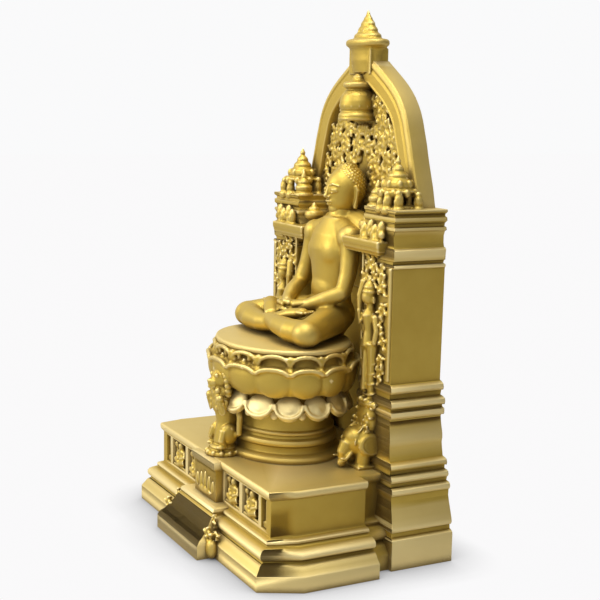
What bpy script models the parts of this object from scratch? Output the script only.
"""A seated jina on a lotus, in front of a throne back with a pointed halo.

One casting. Metres, +Z up, the figure faces -Y, and the origin is the middle
of the footprint. The left and right halves mirror each other in X = 0.
"""

import math

import bmesh
import bpy
from mathutils import Matrix, Vector

# Footprint and plinth
OVERALL_HEIGHT = 0.1800
OVERALL_DEPTH = 0.0762
FRONT_Y = -OVERALL_DEPTH / 2
BACK_Y = OVERALL_DEPTH / 2
DECK_HEIGHT = 0.0296
DADO_FRONT_Y = -0.0250
DADO_FRONT_HALF = 0.0440
DADO_HALF_WIDTH = 0.0468
DADO_CORNER_Y = -0.0168
DADO_SIDE_END_Y = 0.0080
DADO_REAR_HALF = 0.0410
SLAB_HEIGHT = 0.0052
SLAB_PROUD = 0.0102
SLAB_FRONT_PROUD = 0.0070
CAP_HEIGHT = 0.0026
MIDDLE_BLOCK_HALF = 0.0180
MIDDLE_PANEL_HALF = 0.0088
MIDDLE_PANEL_PROUD = 0.0026
NICHE_WIDTH = 0.0124
NICHE_GAP = 0.0020
NICHE_DEPTH = 0.0024

# Throne piers, the wall between them and the halo
PIER_INNER_X = 0.0235
PIER_WIDTH = 0.0187
PIER_FRONT_Y = 0.0185
PIER_HEIGHT = 0.1150
PIER_FOOT_PROUD = 0.0086
PIER_FOOT_FRONT_SHARE = 0.45
SHAFT_FOOT_Z = 0.0580
SHAFT_TOP_Z = 0.0968
WALL_FRONT_Y = 0.0292
WALL_BACK_Y = 0.0362
HALO_HALF_WIDTH = 0.0385
HALO_NECK_HALF = 0.0072
HALO_NECK_Z = 0.1625
HALO_RIM = 0.0026
HALO_SINK = 0.0018
FINIAL_HEIGHT = OVERALL_HEIGHT - HALO_NECK_Z
FINIAL_HALF_WIDTH = 0.0082
FINIAL_HALF_DEPTH = 0.0064
FINIAL_Y = 0.0316
LEDGE_Z = 0.1026
LEDGE_THICK = 0.0024
LEDGE_INNER_X = 0.0150
LEDGE_OUTER_X = 0.0365
LEDGE_FRONT_Y = 0.0155
SPIRE_HEIGHT = 0.0170
SPIRE_RADIUS = 0.0054

# Lotus pedestal
LOTUS_Y = 0.0010
LOTUS_HALF_WIDTH = 0.0303
LOTUS_HALF_DEPTH = 0.0242
SEAT_Z = 0.0686
SEAT_THICK = 0.0022
PETALS_ROUND = 14
PETAL_DROP = 0.0160
DROP_ROW_Z = 0.0488

# Seated figure
FIGURE_HEIGHT = 0.0590
FIGURE_Y = 0.0185

# Umbrella over the head
UMBRELLA_Z = 0.1430
UMBRELLA_RADIUS = 0.0064
UMBRELLA_HEIGHT = 0.0190

# Supports and attendants
BEAST_HEIGHT = 0.0335
ELEPHANT_SIZE = 0.0062
ELEPHANT_X = 0.0310
ATTENDANT_HEIGHT = 0.0430
ATTENDANT_X = 0.0310

OVERLAP = 0.0012


def clear_scene():
    for obj in list(bpy.data.objects):
        bpy.data.objects.remove(obj, do_unlink=True)


def collection_named(name):
    made = bpy.data.collections.new(name)
    bpy.context.scene.collection.children.link(made)
    return made


def gold():
    """Satin gold finish over the whole casting."""
    material = bpy.data.materials.new("satin_gold")
    material.use_nodes = True
    shader = material.node_tree.nodes["Principled BSDF"]
    shader.inputs["Base Color"].default_value = (0.62, 0.45, 0.10, 1.0)
    shader.inputs["Roughness"].default_value = 0.38
    shader.inputs["Metallic"].default_value = 0.75
    return material


def add_shape(name, bm, where, location=(0, 0, 0), turn=(0, 0, 0), scale=(1, 1, 1)):
    """A closed mesh object from a bmesh, hidden from renders until it is fused."""
    mesh = bpy.data.meshes.new(name)
    bm.normal_update()
    bm.to_mesh(mesh)
    bm.free()
    placed = (
        Matrix.Translation(Vector(location))
        @ Matrix.Rotation(turn[2], 4, "Z")
        @ Matrix.Rotation(turn[1], 4, "Y")
        @ Matrix.Rotation(turn[0], 4, "X")
        @ Matrix.Diagonal((*scale, 1))
    )
    mesh.transform(placed)
    if placed.determinant() < 0:
        mesh.flip_normals()
    obj = bpy.data.objects.new(name, mesh)
    obj.hide_render = True
    obj.display_type = "WIRE"
    where.objects.link(obj)
    return obj


def box(name, low, high, where):
    bm = bmesh.new()
    bmesh.ops.create_cube(bm, size=1.0)
    middle = [(a + b) / 2 for a, b in zip(low, high)]
    size = [b - a for a, b in zip(low, high)]
    return add_shape(name, bm, where, location=middle, scale=size)


def ball(name, centre, radii, where, turn=(0, 0, 0), sides=8, rings=6):
    bm = bmesh.new()
    bmesh.ops.create_uvsphere(bm, u_segments=sides, v_segments=rings, radius=1.0)
    return add_shape(name, bm, where, location=centre, turn=turn, scale=radii)


def knob(name, centre, radii, where, turn=(0, 0, 0)):
    """A small rounded boss of few faces."""
    bm = bmesh.new()
    bmesh.ops.create_icosphere(bm, subdivisions=1, radius=1.0)
    return add_shape(name, bm, where, location=centre, turn=turn, scale=radii)


def turned(name, profile, where, location=(0, 0, 0), sides=8, scale=(1, 1, 1)):
    """A turned solid from (radius, height) points, written from the foot up, closed on the axis."""
    bm = bmesh.new()
    points = [bm.verts.new((r, 0, z)) for r, z in profile]
    edges = [bm.edges.new(pair) for pair in zip(points, points[1:])]
    bmesh.ops.spin(
        bm, geom=points + edges, cent=(0, 0, 0), axis=(0, 0, 1),
        angle=math.tau, steps=sides, use_merge=True,
    )
    bmesh.ops.remove_doubles(bm, verts=bm.verts, dist=1e-6)
    bmesh.ops.recalc_face_normals(bm, faces=bm.faces)
    return add_shape(name, bm, where, location=location, scale=scale)


def limb(name, points, radii, where, sides=6):
    """A round tapered form through the points, each with its own radius, with rounded ends."""
    bm = bmesh.new()
    spots = [Vector(p) for p in points]
    first = spots[0] - (spots[1] - spots[0]).normalized() * radii[0] * 0.7
    last = spots[-1] + (spots[-1] - spots[-2]).normalized() * radii[-1] * 0.7
    path = [first] + spots + [last]
    widths = [radii[0] * 0.55] + list(radii) + [radii[-1] * 0.55]
    rings = []
    heading = (path[1] - path[0]).normalized()
    frame = heading.to_track_quat("Z", "Y")
    for i, (spot, width) in enumerate(zip(path, widths)):
        along = (path[min(i + 1, len(path) - 1)] - path[max(i - 1, 0)]).normalized()
        frame = heading.rotation_difference(along) @ frame
        heading = along
        place = Matrix.Translation(spot) @ frame.to_matrix().to_4x4()
        rings.append(bmesh.ops.create_circle(bm, segments=sides, radius=width, matrix=place)["verts"])
    for low, high in zip(rings, rings[1:]):
        for j in range(sides):
            k = (j + 1) % sides
            bm.faces.new((low[j], low[k], high[k], high[j]))
    bm.faces.new(rings[0])
    bm.faces.new(rings[-1])
    bmesh.ops.recalc_face_normals(bm, faces=bm.faces)
    return add_shape(name, bm, where)


def moulded(name, sections, where):
    """A solid whose horizontal sections, (height, outline), are lofted by extruding the top face."""
    bm = bmesh.new()
    height, outline = sections[0]
    top = bm.faces.new([bm.verts.new((x, y, height)) for x, y in outline])
    for height, outline in sections[1:]:
        made = bmesh.ops.extrude_face_region(bm, geom=[top])["geom"]
        if top.is_valid and height != sections[1][0]:
            bm.faces.remove(top)
        top = next(g for g in made if isinstance(g, bmesh.types.BMFace))
        for vert, (x, y) in zip(top.verts, outline):
            vert.co = (x, y, height)
    bmesh.ops.recalc_face_normals(bm, faces=bm.faces)
    return add_shape(name, bm, where)


def mirrored_outline(half):
    """The whole outline from its right half, which runs from the front middle to the back middle."""
    left = [(-x, y) for x, y in reversed(half) if x > 0]
    return [p for p in half if p[0] > 0] + left


def both_sides(make):
    for side, word in ((1, "right"), (-1, "left")):
        make(side, word)


# Plinth


def plinth_outline(share):
    """The plinth's plan, from the dado's own faces (0) out to the slab's (1)."""
    side = share * SLAB_PROUD
    return mirrored_outline([
        (DADO_FRONT_HALF + side * 0.41, DADO_FRONT_Y - share * SLAB_FRONT_PROUD),
        (DADO_HALF_WIDTH + side, DADO_CORNER_Y - side * 0.20),
        (DADO_HALF_WIDTH + side * 0.98, DADO_SIDE_END_Y),
        (DADO_REAR_HALF + side * 0.98, DADO_SIDE_END_Y),
        (DADO_REAR_HALF + side, PIER_FRONT_Y),
        (PIER_INNER_X + OVERLAP, PIER_FRONT_Y),
        (PIER_INNER_X + OVERLAP, WALL_FRONT_Y + HALO_SINK + OVERLAP),
    ])


PLINTH_PROFILE = (
    (0.0, 1.0),
    (SLAB_HEIGHT, 1.0),
    (SLAB_HEIGHT + 0.0022, 0.80),
    (SLAB_HEIGHT + 0.0034, 0.55),
    (SLAB_HEIGHT + 0.0048, 0.70),
    (SLAB_HEIGHT + 0.0066, 0.64),
    (SLAB_HEIGHT + 0.0076, 0.26),
    (SLAB_HEIGHT + 0.0090, 0.24),
    (SLAB_HEIGHT + 0.0094, 0.0),
    (DECK_HEIGHT - CAP_HEIGHT, 0.0),
    (DECK_HEIGHT - CAP_HEIGHT * 0.6, 0.12),
    (DECK_HEIGHT - CAP_HEIGHT * 0.15, 0.15),
    (DECK_HEIGHT, 0.12),
)


def plinth(where):
    return moulded("plinth", [(z, plinth_outline(share)) for z, share in PLINTH_PROFILE], where)


def middle_block(where):
    """The forward block of the base, with its sloped top, and the plain panel above it."""
    half, back = MIDDLE_BLOCK_HALF, DADO_FRONT_Y + OVERLAP
    steps = (
        (0.0, 0.0), (SLAB_HEIGHT, 0.0), (SLAB_HEIGHT + 0.0012, 0.0008),
        (SLAB_HEIGHT + 0.0030, 0.0030), (SLAB_HEIGHT + 0.0068, 0.0052),
    )
    sections = []
    for z, inset in steps:
        front = FRONT_Y + inset
        sections.append((z, [
            (-half + inset, front), (half - inset, front), (half - inset, back), (-half + inset, back)
        ]))
    moulded("middle_block", sections, where)
    panel = DADO_FRONT_Y - MIDDLE_PANEL_PROUD
    box(
        "middle_panel",
        (-MIDDLE_PANEL_HALF, panel, SLAB_HEIGHT),
        (MIDDLE_PANEL_HALF, DADO_FRONT_Y + OVERLAP, DECK_HEIGHT - CAP_HEIGHT * 0.5),
        where,
    )
    box(
        "middle_cap",
        (-MIDDLE_PANEL_HALF - 0.001, panel - 0.0012, DECK_HEIGHT - CAP_HEIGHT),
        (MIDDLE_PANEL_HALF + 0.001, DADO_FRONT_Y + OVERLAP, DECK_HEIGHT - 0.0002),
        where,
    )
    both_sides(lambda side, word: knob(
        "middle_scroll_" + word,
        (side * (MIDDLE_BLOCK_HALF + 0.0012), FRONT_Y + 0.0050, SLAB_HEIGHT + 0.0020),
        (0.0022, 0.0026, 0.0030), where,
    ))


def niche_middles():
    first = MIDDLE_PANEL_HALF + NICHE_GAP / 2 + NICHE_WIDTH / 2
    return [first, first + NICHE_WIDTH + NICHE_GAP]


def niches(where):
    """Cutters for the framed niches in the front of the dado."""
    low = SLAB_HEIGHT + 0.0098
    high = DECK_HEIGHT - CAP_HEIGHT - 0.0008
    for i, middle in enumerate(niche_middles()):
        both_sides(lambda side, word: box(
            f"niche_{i}_{word}",
            (side * middle - NICHE_WIDTH / 2, DADO_FRONT_Y - 0.004, low),
            (side * middle + NICHE_WIDTH / 2, DADO_FRONT_Y + NICHE_DEPTH, high),
            where,
        ))


def niche_figures(where):
    """A small seated figure in each niche: crossed legs, body, head and raised knees."""
    low = SLAB_HEIGHT + 0.0098
    tall = DECK_HEIGHT - CAP_HEIGHT - 0.0008 - low
    depth = DADO_FRONT_Y + NICHE_DEPTH * 0.75
    for i, middle in enumerate(niche_middles()):
        def one(side, word):
            x = side * middle
            name = f"niche_figure_{i}_{word}"
            knob(name + "_legs", (x, depth, low + tall * 0.20), (0.0046, 0.0024, tall * 0.24), where)
            knob(name + "_body", (x, depth, low + tall * 0.60), (0.0026, 0.0022, tall * 0.34), where)
        both_sides(one)


# Throne back


PIER_PROFILE = (
    (0.0, 1.0),
    (0.0090, 1.0),
    (0.0112, 0.86),
    (0.0124, 0.86),
    (0.0132, 0.96),
    (0.0150, 0.90),
    (0.0222, 0.68),
    (0.0244, 0.68),
    (0.0262, 0.74),
    (0.0280, 0.54),
    (0.0286, 0.62),
    (0.0300, 0.60),
    (0.0316, 0.42),
    (0.0322, 0.54),
    (0.0334, 0.48),
    (0.0344, 0.26),
    (0.0446, 0.16),
    (0.0472, 0.10),
    (0.0486, 0.26),
    (0.0502, 0.28),
    (0.0508, 0.16),
    (0.0516, 0.30),
    (0.0532, 0.28),
    (0.0542, 0.06),
    (0.0560, 0.20),
    (SHAFT_FOOT_Z, 0.16),
    (SHAFT_FOOT_Z + 0.0012, 0.0),
    (SHAFT_TOP_Z - 0.0012, 0.0),
    (SHAFT_TOP_Z - 0.0006, 0.07),
    (SHAFT_TOP_Z + 0.0006, 0.07),
    (SHAFT_TOP_Z + 0.0012, -0.07),
    (SHAFT_TOP_Z + 0.0052, 0.04),
    (SHAFT_TOP_Z + 0.0102, -0.09),
    (PIER_HEIGHT - 0.0070, 0.0),
    (PIER_HEIGHT - 0.0056, 0.03),
    (PIER_HEIGHT - 0.0050, -0.10),
    (PIER_HEIGHT - 0.0036, 0.05),
    (PIER_HEIGHT - 0.0022, 0.05),
    (PIER_HEIGHT - 0.0009, -0.08),
    (PIER_HEIGHT - 0.0006, 0.08),
    (PIER_HEIGHT, 0.08),
)


def pier(side, word, where):
    """A deep pier with a flat back; its mouldings stand proud at the front and the outer side."""
    sections = []
    for z, share in PIER_PROFILE:
        proud = share * PIER_FOOT_PROUD
        outer = PIER_INNER_X + PIER_WIDTH + proud
        front = PIER_FRONT_Y - proud * PIER_FOOT_FRONT_SHARE
        outline = [(PIER_INNER_X, front), (outer, front), (outer, BACK_Y), (PIER_INNER_X, BACK_Y)]
        if side < 0:
            outline = [(-x, y) for x, y in reversed(outline)]
        sections.append((z, outline))
    moulded("pier_" + word, sections, where)


HALO_OUTLINE = (
    (1.0, 0.0), (0.956, 0.137), (0.888, 0.295), (0.842, 0.421), (0.806, 0.497), (0.774, 0.579),
    (0.722, 0.659), (0.639, 0.741), (0.517, 0.825), (0.358, 0.909),
)


def halo_outline(inset, foot_z):
    """Right half of the halo's edge, from the foot up to the neck, moved inwards by the inset."""
    rise = HALO_NECK_Z - PIER_HEIGHT
    points = [Vector((HALO_HALF_WIDTH * wide, PIER_HEIGHT + rise * tall)) for wide, tall in HALO_OUTLINE]
    points.append(Vector((HALO_NECK_HALF, HALO_NECK_Z)))
    moved = []
    for i, point in enumerate(points):
        along = (points[min(i + 1, len(points) - 1)] - points[max(i - 1, 0)]).normalized()
        place = point + Vector((-along.y, along.x)) * inset
        moved.append((max(place.x, 0.0004), place.y))
    return [(moved[0][0], foot_z)] + moved


def halo_half_width(z):
    """Half width of the halo at a height, read between the corners of its outline."""
    points = halo_outline(0, PIER_HEIGHT)[1:]
    for (x0, z0), (x1, z1) in zip(points, points[1:]):
        if z0 <= z <= z1:
            return x0 + (x1 - x0) * (z - z0) / (z1 - z0)
    return points[0][0]


def upright_slab(name, half, front, back, where):
    """A slab standing in the XZ plane, from the right half of its outline."""
    bm = bmesh.new()
    outline = half + [(-x, z) for x, z in reversed(half) if x > 1e-9]
    face = bm.faces.new([bm.verts.new((x, front, z)) for x, z in outline])
    made = bmesh.ops.extrude_face_region(bm, geom=[face])["geom"]
    for vert in (g for g in made if isinstance(g, bmesh.types.BMVert)):
        vert.co.y = back
    bmesh.ops.recalc_face_normals(bm, faces=bm.faces)
    return add_shape(name, bm, where)


def halo(where, cutters):
    upright_slab("halo", halo_outline(0, PIER_HEIGHT - 0.010), WALL_FRONT_Y, WALL_BACK_Y, where)
    upright_slab(
        "halo_field",
        halo_outline(HALO_RIM * 2, PIER_HEIGHT - 0.006),
        WALL_FRONT_Y - 0.004, WALL_FRONT_Y + HALO_SINK, cutters,
    )
    box(
        "wall",
        (-PIER_INNER_X - OVERLAP, WALL_FRONT_Y + HALO_SINK, 0.0),
        (PIER_INNER_X + OVERLAP, WALL_BACK_Y - 0.0004, PIER_HEIGHT),
        where,
    )
    box(
        "halo_neck",
        (-HALO_NECK_HALF * 0.86, FINIAL_Y - FINIAL_HALF_DEPTH * 0.64, HALO_NECK_Z - 0.003),
        (HALO_NECK_HALF * 0.86, FINIAL_Y + FINIAL_HALF_DEPTH * 0.64, HALO_NECK_Z + 0.0042),
        where,
    )


def finial(where):
    """Plate, bell, ring and spike on the tip of the halo, flattened front to back."""
    profile = (
        (0.0, 0.0), (0.84, 0.0), (1.0, 0.05), (1.0, 0.13), (0.80, 0.18), (0.70, 0.24),
        (0.72, 0.32), (0.56, 0.38), (0.56, 0.44), (0.40, 0.56), (0.24, 0.68), (0.13, 0.84),
        (0.10, 0.96), (0.0, 1.0),
    )
    points = [(r * FINIAL_HALF_WIDTH, z * (FINIAL_HEIGHT - 0.0032)) for r, z in profile]
    turned(
        "finial", points, where,
        location=(0, FINIAL_Y, HALO_NECK_Z + 0.0032),
        scale=(1, FINIAL_HALF_DEPTH / FINIAL_HALF_WIDTH, 1), sides=10,
    )


def halo_relief(where):
    """Leafy scrolls that fill the halo inside its rim, in three rising rows."""
    rows = ((0.42, 4), (0.76, 6))
    for row, (share, count) in enumerate(rows):
        for i in range(count):
            along = (i + 0.5) / count
            z = PIER_HEIGHT - 0.001 + (HALO_NECK_Z - 0.014 - PIER_HEIGHT) * along
            edge = halo_half_width(z) - HALO_RIM * 2
            x = edge * share
            if x < 0.0035:
                continue
            size = 0.0034 if i % 2 else 0.0027
            both_sides(lambda side, word: knob(
                f"halo_leaf_{row}_{i}_{word}",
                (side * x, WALL_FRONT_Y + HALO_SINK + 0.0002, z),
                (size, 0.0022, size * 0.8), where, turn=(0, side * (0.5 + 0.5 * (i % 2)), 0),
            ))


SPIRE_PROFILE = (
    (0.0, 0.0), (1.0, 0.0), (1.0, 0.12), (0.76, 0.16), (0.90, 0.30), (0.58, 0.42),
    (0.64, 0.52), (0.24, 0.70), (0.0, 1.0),
)


def spire(name, centre, radius, height, where, sides=6):
    points = [(r * radius, z * height) for r, z in SPIRE_PROFILE]
    turned(name, points, where, location=centre, sides=sides)


def spires(where):
    """Three spires on each pier: a tall one between two lower ones."""
    base = PIER_HEIGHT - OVERLAP
    middle = PIER_INNER_X + PIER_WIDTH * 0.5
    places = (
        (middle, 0.0250, 1.0, 1.0),
        (middle - 0.0066, 0.0235, 0.62, 0.72),
        (middle + 0.0060, 0.0265, 0.58, 0.66),
    )
    for i, (x, y, wide, tall) in enumerate(places):
        both_sides(lambda side, word: spire(
            f"spire_{i}_{word}", (side * x, y, base), SPIRE_RADIUS * wide, SPIRE_HEIGHT * tall + OVERLAP, where,
        ))


def ledges(where):
    """A ledge on each side of the head, with a small bell on it and a column under it."""
    def one(side, word):
        low_x, high_x = sorted((side * LEDGE_INNER_X, side * LEDGE_OUTER_X))
        box(
            "ledge_" + word,
            (low_x, LEDGE_FRONT_Y, LEDGE_Z),
            (high_x, WALL_FRONT_Y + HALO_SINK + OVERLAP, LEDGE_Z + LEDGE_THICK),
            where,
        )
        bell = ((0.0, -0.1), (0.9, -0.1), (1.0, 0.15), (0.8, 0.5), (0.45, 0.75), (0.2, 0.9), (0.0, 1.15))
        turned(
            "ledge_bell_" + word, [(r * 0.0030, z * 0.0058) for r, z in bell], where,
            location=(side * (LEDGE_INNER_X + 0.0036), 0.0225, LEDGE_Z + LEDGE_THICK), sides=8,
        )
        column = (
            (0.0, 0.0), (1.5, 0.0), (1.5, 0.04), (0.9, 0.08), (0.9, 0.90), (1.4, 0.95), (1.4, 1.0), (0.0, 1.0),
        )
        foot = SEAT_Z - 0.006
        turned(
            "column_" + word,
            [(r * 0.0020, z * (LEDGE_Z + OVERLAP - foot)) for r, z in column], where,
            location=(side * (LEDGE_INNER_X + 0.0060), 0.0272, foot), sides=6,
        )
        box(
            "column_foot_" + word,
            (min(side * 0.0165, side * 0.0245), 0.0238, DECK_HEIGHT - OVERLAP),
            (max(side * 0.0165, side * 0.0245), WALL_FRONT_Y + HALO_SINK + OVERLAP, foot + OVERLAP),
            where,
        )
    both_sides(one)


def jamb_scrolls(where):
    """A rising row of leafy bosses on the front of each pier, over the attendants."""
    count = 4
    low, high = LEDGE_Z - 0.0170, LEDGE_Z - 0.0030
    for i in range(count):
        z = low + (high - low) * i / (count - 1)
        size = 0.0031 if i % 2 else 0.0026
        x = PIER_INNER_X + PIER_WIDTH * (0.56 if i % 2 else 0.34)
        both_sides(lambda side, word: knob(
            f"jamb_leaf_{i}_{word}", (side * x, PIER_FRONT_Y + 0.0002, z), (size, 0.0023, size), where,
        ))


# Umbrella


def umbrella(where):
    """Three tiers over the head, growing out of the halo field."""
    profile = (
        (0.0, -0.08), (0.88, -0.08), (1.0, 0.0), (1.0, 0.07), (0.86, 0.12), (0.82, 0.28),
        (0.46, 0.42), (0.70, 0.46), (0.70, 0.53), (0.30, 0.66), (0.20, 0.80), (0.0, 1.0),
    )
    turned(
        "umbrella", [(r * UMBRELLA_RADIUS, z * UMBRELLA_HEIGHT) for r, z in profile], where,
        location=(0, WALL_FRONT_Y - 0.0008, UMBRELLA_Z), sides=10,
    )


# Lotus pedestal


def drum(name, profile, where, centre_y=LOTUS_Y, sides=20):
    """An oval turned form; each radius is a share of the lotus's half width and half depth."""
    turned(
        name, [(r, z) for r, z in profile], where, location=(0, centre_y, 0), sides=sides,
        scale=(LOTUS_HALF_WIDTH, LOTUS_HALF_DEPTH, 1),
    )


def pedestal(where):
    deck = DECK_HEIGHT - OVERLAP
    neck = SEAT_Z - PETAL_DROP
    drum("pedestal_foot", (
        (0.0, deck), (0.80, deck), (0.81, DECK_HEIGHT + 0.0010), (0.78, DECK_HEIGHT + 0.0022),
        (0.71, DECK_HEIGHT + 0.0028), (0.70, DECK_HEIGHT + 0.0052), (0.73, DECK_HEIGHT + 0.0066),
        (0.68, DECK_HEIGHT + 0.0080), (0.68, DECK_HEIGHT + 0.0130), (0.88, DECK_HEIGHT + 0.0152),
        (0.88, DECK_HEIGHT + 0.0176), (0.76, neck), (0.76, neck + OVERLAP * 2), (0.0, neck + OVERLAP * 2),
    ), where)
    drum("seat_plate", (
        (0.0, SEAT_Z - SEAT_THICK * 1.4), (0.84, SEAT_Z - SEAT_THICK * 1.4), (0.91, SEAT_Z - SEAT_THICK * 0.6),
        (0.90, SEAT_Z), (0.0, SEAT_Z),
    ), where)


def oval_spot(angle, share):
    return (
        LOTUS_HALF_WIDTH * share * math.cos(angle),
        LOTUS_Y + LOTUS_HALF_DEPTH * share * math.sin(angle),
    )


FLOWER_ROWS = (
    (-0.10, 0.66, 0.00, 0.0),
    (0.00, 0.80, 0.03, 0.0),
    (0.16, 0.90, 0.07, 0.0),
    (0.40, 0.96, 0.08, 0.0),
    (0.58, 0.99, 0.05, 0.0),
    (0.64, 0.93, 0.02, 0.0),
    (0.84, 0.91, 0.06, 0.0),
    (0.93, 0.90, 0.02, 0.0),
)


def flower(where):
    """Two rows of petals as one lobed ring, a big row and a short one over it."""
    steps = 3
    count = PETALS_ROUND * steps
    bm = bmesh.new()
    rings = []
    for rise, share, lobe, shift in FLOWER_ROWS:
        ring = []
        for i in range(count):
            along = i / steps + shift
            swell = abs(math.sin(math.pi * along)) ** 0.8
            x, y = oval_spot(math.tau * i / count, share + lobe * (swell - 0.5))
            ring.append(bm.verts.new((x, y, SEAT_Z - PETAL_DROP * (1 - rise))))
        rings.append(ring)
    for low, high in zip(rings, rings[1:]):
        for i in range(count):
            j = (i + 1) % count
            bm.faces.new((low[i], low[j], high[j], high[i]))
    bm.faces.new(rings[0])
    bm.faces.new(rings[-1])
    bmesh.ops.recalc_face_normals(bm, faces=bm.faces)
    return add_shape("flower", bm, where)


def drops(where):
    """A row of hanging drops under the petals."""
    for i in range(PETALS_ROUND):
        angle = math.tau * (i + 0.5) / PETALS_ROUND
        x, y = oval_spot(angle, 0.83)
        if y < WALL_FRONT_Y - 0.014:
            out = math.atan2(math.sin(angle) / LOTUS_HALF_DEPTH, math.cos(angle) / LOTUS_HALF_WIDTH)
            knob(f"drop_{i}", (x, y, DROP_ROW_Z), (0.0022, 0.0042, 0.0040), where, turn=(0, -0.25, out))


# Seated figure


def figure_spot(x, y, z):
    """A place on the figure from shares of its height: x and y from its axis, z from the seat."""
    return (x * FIGURE_HEIGHT, FIGURE_Y + y * FIGURE_HEIGHT, SEAT_Z + z * FIGURE_HEIGHT)


def figure_part(name, place, radii, where, **more):
    return ball(name, figure_spot(*place), [r * FIGURE_HEIGHT for r in radii], where, **more)


def figure_limb(name, places, radii, where, sides=7):
    return limb(
        name, [figure_spot(*p) for p in places], [r * FIGURE_HEIGHT for r in radii], where, sides=sides
    )


TORSO_PROFILE = (
    (0.0, 0.02), (0.190, 0.02), (0.200, 0.12), (0.165, 0.22), (0.150, 0.31), (0.170, 0.42),
    (0.205, 0.53), (0.210, 0.59), (0.165, 0.635), (0.085, 0.67), (0.0, 0.68),
)
TORSO_DEPTH_SHARE = 0.58


def seated_figure(where):
    """The meditating figure: crossed legs, hands in the lap, straight back and level head."""
    turned(
        "torso", [(r * FIGURE_HEIGHT, z * FIGURE_HEIGHT) for r, z in TORSO_PROFILE], where,
        location=figure_spot(0, 0.01, 0), sides=12, scale=(1, TORSO_DEPTH_SHARE, 1),
    )
    figure_part("neck", (0, 0.055, 0.70), (0.066, 0.070, 0.085), where, sides=7, rings=5)
    both_sides(lambda side, word: one_side_of_figure(side, word, where))
    figure_part("hands", (0.0, -0.262, 0.165), (0.095, 0.065, 0.040), where)
    figure_part("head", (0, 0.095, 0.845), (0.106, 0.118, 0.138), where, sides=12, rings=8)
    knob("topknot", figure_spot(0, 0.105, 0.975), [r * FIGURE_HEIGHT for r in (0.055, 0.055, 0.040)], where)
    knob("nose", figure_spot(0, -0.018, 0.835), [r * FIGURE_HEIGHT for r in (0.018, 0.022, 0.036)], where)


def one_side_of_figure(side, word, where):
    """Arm, thigh, shin, foot and ear of one side."""
    s = side
    figure_limb("upper_arm_" + word, (
        (s * 0.205, 0.012, 0.575), (s * 0.236, 0.0, 0.430), (s * 0.256, -0.045, 0.275),
    ), (0.058, 0.050, 0.046), where)
    figure_limb("forearm_" + word, (
        (s * 0.255, -0.055, 0.265), (s * 0.175, -0.160, 0.212), (s * 0.070, -0.235, 0.175),
    ), (0.047, 0.044, 0.036), where)
    figure_limb("thigh_" + word, (
        (s * 0.130, -0.010, 0.105), (s * 0.258, -0.150, 0.100), (s * 0.362, -0.300, 0.090),
    ), (0.105, 0.100, 0.084), where)
    figure_limb("shin_" + word, (
        (s * 0.356, -0.335, 0.082), (s * 0.170, -0.360, 0.072 + 0.02 * s), (-s * 0.070, -0.345, 0.086 + 0.02 * s),
    ), (0.078, 0.064, 0.048), where)
    figure_limb("foot_" + word, (
        (-s * 0.070, -0.320, 0.118), (-s * 0.210, -0.262, 0.146),
    ), (0.044, 0.034), where, sides=6)
    knob("ear_" + word, figure_spot(s * 0.106, 0.110, 0.805), [r * FIGURE_HEIGHT for r in (0.018, 0.032, 0.080)], where)


# Supports and attendants


def beast(where):
    """A rearing beast against the front of the pedestal, standing on a small flower."""
    tall = BEAST_HEIGHT
    y = LOTUS_Y - LOTUS_HALF_DEPTH * 0.77
    foot = DECK_HEIGHT
    turned("beast_flower", (
        (0.0, foot - OVERLAP), (0.0054, foot - OVERLAP), (0.0058, foot + 0.0012), (0.0042, foot + 0.0024),
        (0.0046, foot + 0.0036), (0.0, foot + 0.0044),
    ), where, location=(0, y - 0.0050, 0), sides=8)
    limb("beast_body", (
        (0, y - 0.0045, foot + tall * 0.16), (0, y - 0.0030, foot + tall * 0.40), (0, y - 0.0036, foot + tall * 0.62),
    ), (0.0042, 0.0040, 0.0046), where)
    ball("beast_head", (0, y - 0.0062, foot + tall * 0.80), (0.0050, 0.0052, 0.0048), where)
    knob("beast_muzzle", (0, y - 0.0108, foot + tall * 0.76), (0.0026, 0.0028, 0.0024), where)
    both_sides(lambda side, word: beast_side(side, word, y, foot, tall, where))


def beast_side(side, word, y, foot, tall, where):
    limb("beast_leg_" + word, (
        (side * 0.0030, y - 0.0030, foot + tall * 0.34), (side * 0.0046, y - 0.0060, foot + tall * 0.12),
    ), (0.0026, 0.0018), where, sides=6)
    limb("beast_paw_" + word, (
        (side * 0.0034, y - 0.0040, foot + tall * 0.62), (side * 0.0060, y - 0.0085, foot + tall * 0.56),
    ), (0.0021, 0.0017), where, sides=6)
    knob("beast_ear_" + word, (side * 0.0040, y - 0.0040, foot + tall * 0.92), (0.0016, 0.0016, 0.0022), where)
    knob("beast_mane_" + word, (side * 0.0046, y - 0.0032, foot + tall * 0.74), (0.0026, 0.0030, 0.0044), where)


def elephant(side, word, where):
    """A boss like an elephant's head against the foot of each pier."""
    s = ELEPHANT_SIZE
    x, y, z = side * ELEPHANT_X, PIER_FRONT_Y - s * 0.72, DECK_HEIGHT + s * 1.72
    ball("elephant_head_" + word, (x, y, z), (s * 0.92, s, s * 1.05), where)
    limb("elephant_trunk_" + word, (
        (x, y - s * 0.80, z - s * 0.10), (x, y - s * 1.25, z - s * 0.85), (x, y - s * 0.95, z - s * 1.50),
    ), (s * 0.42, s * 0.32, s * 0.24), where)
    knob("elephant_block_" + word, (x, y + s * 0.1, DECK_HEIGHT + s * 0.30), (s * 0.95, s, s * 0.62), where)
    for k, word_b in ((-1, "a"), (1, "b")):
        knob(
            f"elephant_ear_{word}_{word_b}", (x + k * s * 0.88, y + s * 0.15, z + s * 0.1),
            (s * 0.30, s * 0.55, s * 0.72), where,
        )


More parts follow.
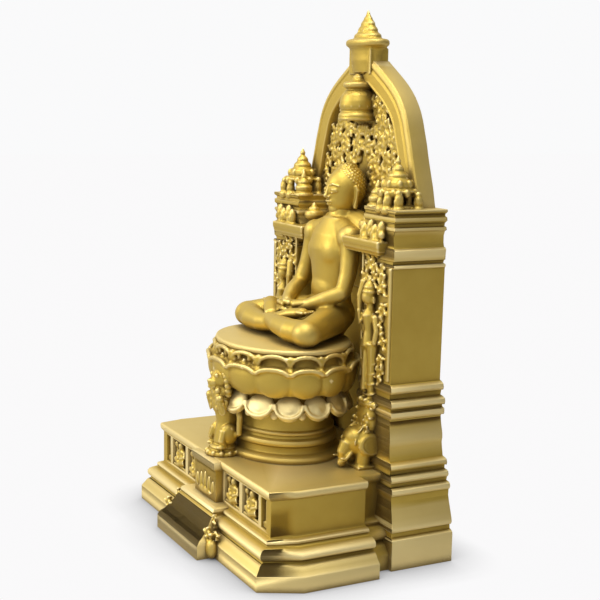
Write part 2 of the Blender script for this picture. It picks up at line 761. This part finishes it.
def attendant(side, word, where):
    """A standing attendant carved in high relief on the front of each pier."""
    tall = ATTENDANT_HEIGHT
    x, y, foot = side * ATTENDANT_X, PIER_FRONT_Y - 0.0012, DECK_HEIGHT + ELEPHANT_SIZE * 3.35
    knob("attendant_base_" + word, (x, y, foot), (0.0060, 0.0050, 0.0026), where)
    limb("attendant_body_" + word, (
        (x, y, foot + tall * 0.06), (x + side * 0.0008, y, foot + tall * 0.40),
        (x, y, foot + tall * 0.52), (x, y - 0.0002, foot + tall * 0.68),
    ), (0.0032, 0.0042, 0.0032, 0.0042), where)
    knob("attendant_head_" + word, (x - side * 0.0004, y - 0.0012, foot + tall * 0.86),
         (0.0030, 0.0032, 0.0044), where)
    limb("attendant_arm_" + word, (
        (x - side * 0.0030, y, foot + tall * 0.66), (x - side * 0.0056, y - 0.0004, foot + tall * 0.74),
    ), (0.0020, 0.0016), where, sides=5)


def fuse(name, body, shapes, cutters, where, material):
    """Cuts the niches and the halo field, then joins every shape into one solid."""
    body.name = name
    cut = body.modifiers.new("niches", "BOOLEAN")
    cut.operation = "DIFFERENCE"
    cut.operand_type = "COLLECTION"
    cut.collection = cutters
    join = body.modifiers.new("join", "BOOLEAN")
    join.operation = "UNION"
    join.operand_type = "COLLECTION"
    join.collection = shapes
    shapes.objects.unlink(body)
    where.objects.link(body)
    body.hide_render = False
    body.display_type = "TEXTURED"
    body.data.materials.append(material)


def main():
    clear_scene()
    statue = collection_named("statue")
    shapes = collection_named("shapes")
    cutters = collection_named("cutters")
    halo_cutters = collection_named("halo_cutters")
    body = plinth(shapes)
    middle_block(shapes)
    niches(cutters)
    niche_figures(shapes)
    both_sides(lambda side, word: pier(side, word, shapes))
    halo(shapes, halo_cutters)
    halo_slab = shapes.objects["halo"]
    sink = halo_slab.modifiers.new("field", "BOOLEAN")
    sink.operation = "DIFFERENCE"
    sink.object = halo_cutters.objects["halo_field"]
    finial(shapes)
    halo_relief(shapes)
    spires(shapes)
    ledges(shapes)
    jamb_scrolls(shapes)
    umbrella(shapes)
    pedestal(shapes)
    flower(shapes)
    drops(shapes)
    seated_figure(shapes)
    beast(shapes)
    both_sides(lambda side, word: elephant(side, word, shapes))
    both_sides(lambda side, word: attendant(side, word, shapes))
    fuse("mahavira_statue", body, shapes, cutters, statue, gold())


main()
